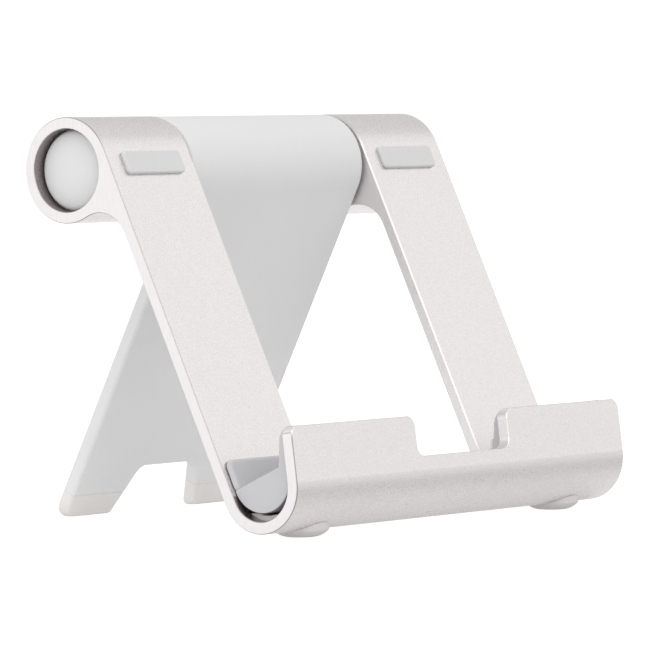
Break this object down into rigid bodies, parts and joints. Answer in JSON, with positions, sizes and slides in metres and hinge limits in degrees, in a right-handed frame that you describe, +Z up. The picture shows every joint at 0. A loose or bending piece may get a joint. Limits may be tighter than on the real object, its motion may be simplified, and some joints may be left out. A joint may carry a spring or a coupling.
{
  "type": "tablet stand",
  "caption": "Folding tablet stand: an extruded aluminium frame with a padded channel and notched lip, on a friction-hinged rear leg with rubber shoes.",
  "frame": {"origin": "on the table, at the middle of the outline seen from above, with the stand open as in use", "axes": "+X along the hinge, to the right of someone facing the tablet; +Y from the lip towards the rear leg; +Z up"},
  "size_m": [0.12, 0.0906, 0.0885],
  "materials": {
    "anodised_aluminium": "bead-blasted, silver anodised",
    "leg_plastic": "fine matt grain",
    "shoe_rubber": "matt",
    "foot_rubber": "matt",
    "silicone": "smooth matt silicone",
    "cap_plastic": "smooth satin",
    "hub_plastic": "glass-filled nylon",
    "nylon": "satin",
    "bronze": "ground",
    "spring_steel": "oiled",
    "steel": "zinc plated"
  },
  "bodies": {
    "frame": {"frame": "anodised_aluminium", "channel_foot_left": "foot_rubber", "channel_foot_right": "foot_rubber", "channel_insert_left": "silicone", "channel_insert_right": "silicone", "arm_pad_left": "silicone", "arm_pad_right": "silicone", "knuckle_bush_left": "hub_plastic", "knuckle_bush_right": "hub_plastic", "end_cap_left": "cap_plastic", "end_cap_right": "cap_plastic"},
    "leg": {"leg_shell": "leg_plastic", "axle": "steel", "leg_shoe_left": "shoe_rubber", "leg_shoe_right": "shoe_rubber", "barrel_hub_left": "hub_plastic", "barrel_hub_right": "hub_plastic", "thrust_washer_left": "nylon", "thrust_washer_right": "nylon", "friction_washer_left": "bronze", "friction_washer_right": "bronze", "disc_springs_left": "spring_steel", "disc_springs_right": "spring_steel", "lock_nut_left": "steel", "lock_nut_right": "steel"}
  },
  "joints": [
    {"name": "leg_hinge", "type": "hinge", "parent": "frame", "child": "leg", "pos_m": [0, 0.01617, 0.0771], "axis": [1, 0, 0], "range_deg": [-51.6, 48.4]}
  ]
}
